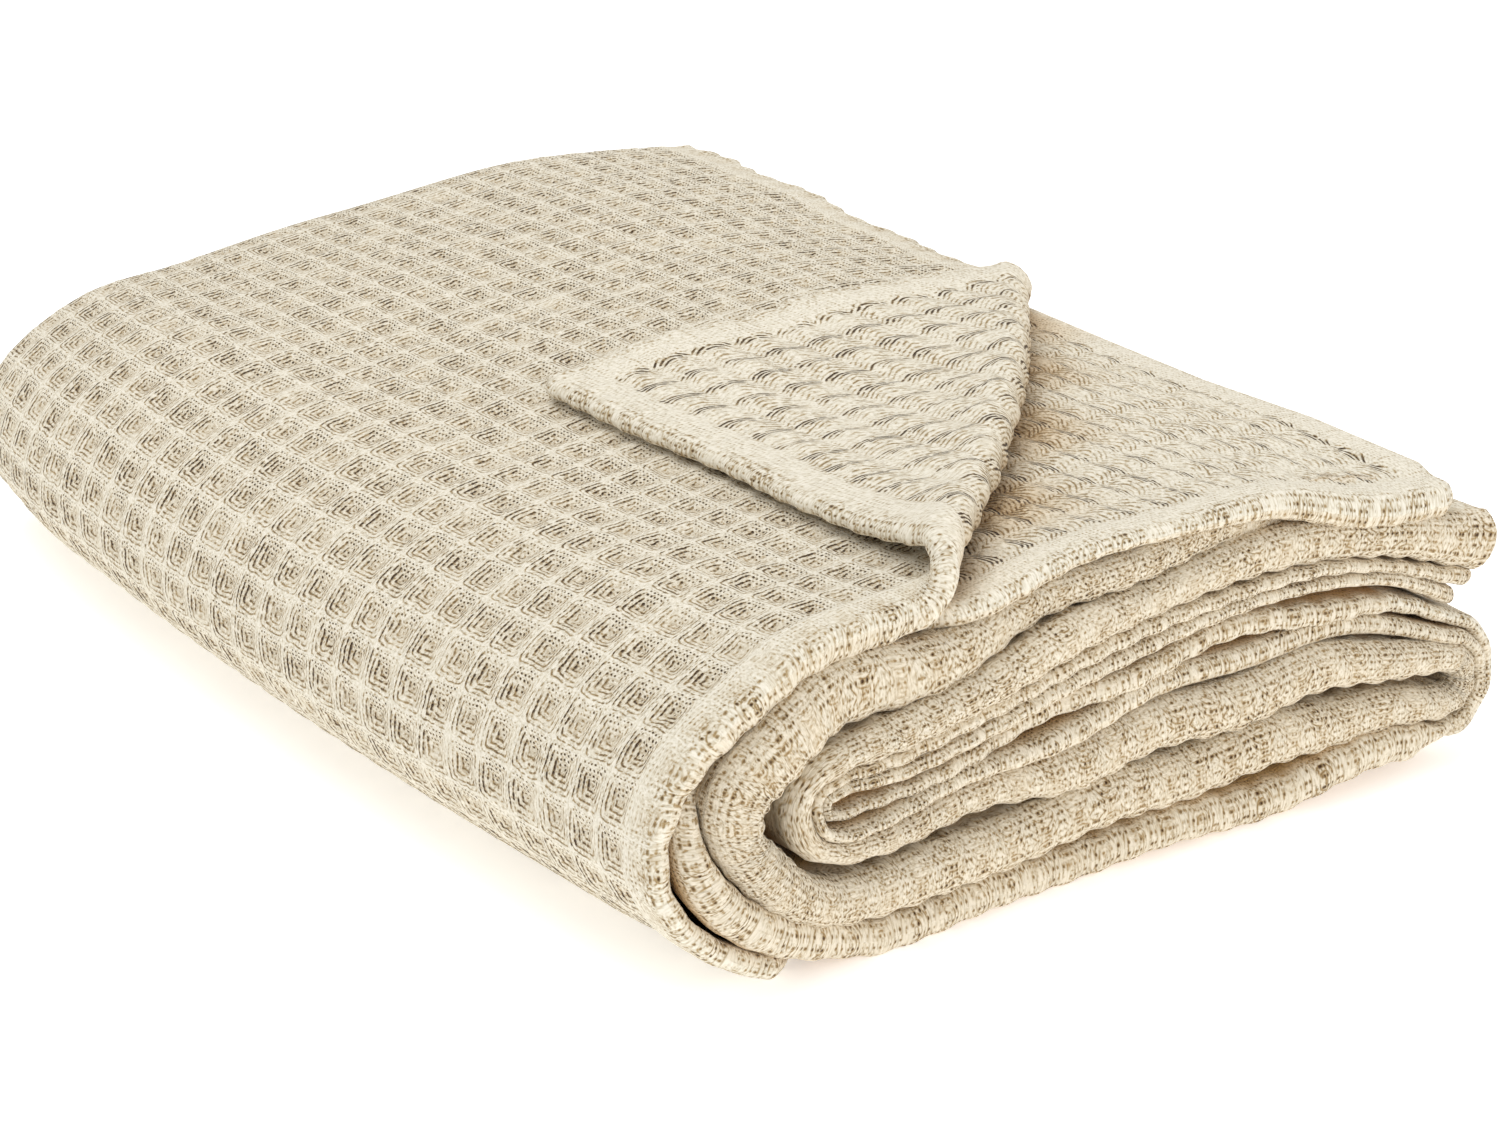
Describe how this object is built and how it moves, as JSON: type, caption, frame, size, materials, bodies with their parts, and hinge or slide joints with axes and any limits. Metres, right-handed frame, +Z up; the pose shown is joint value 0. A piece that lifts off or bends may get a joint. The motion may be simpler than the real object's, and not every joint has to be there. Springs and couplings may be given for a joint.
{
  "type": "folded waffle blanket",
  "caption": "Soft waffle-weave cotton blanket, folded into a thick stack of layers with a rounded fold at one side, hemmed edges in front and the top corner turned back.",
  "frame": {"origin": "middle of the pile's bottom, on the surface it rests on", "axes": "+Y from the hemmed front to the back, +X from the big rounded fold to the loose ends, +Z up"},
  "size_m": [0.3368, 0.4694, 0.1237],
  "materials": {
    "folded_cloth": "undyed cotton waffle weave, matt"
  },
  "bodies": {
    "root": {"folded_cloth": "folded_cloth"}
  },
  "joints": []
}
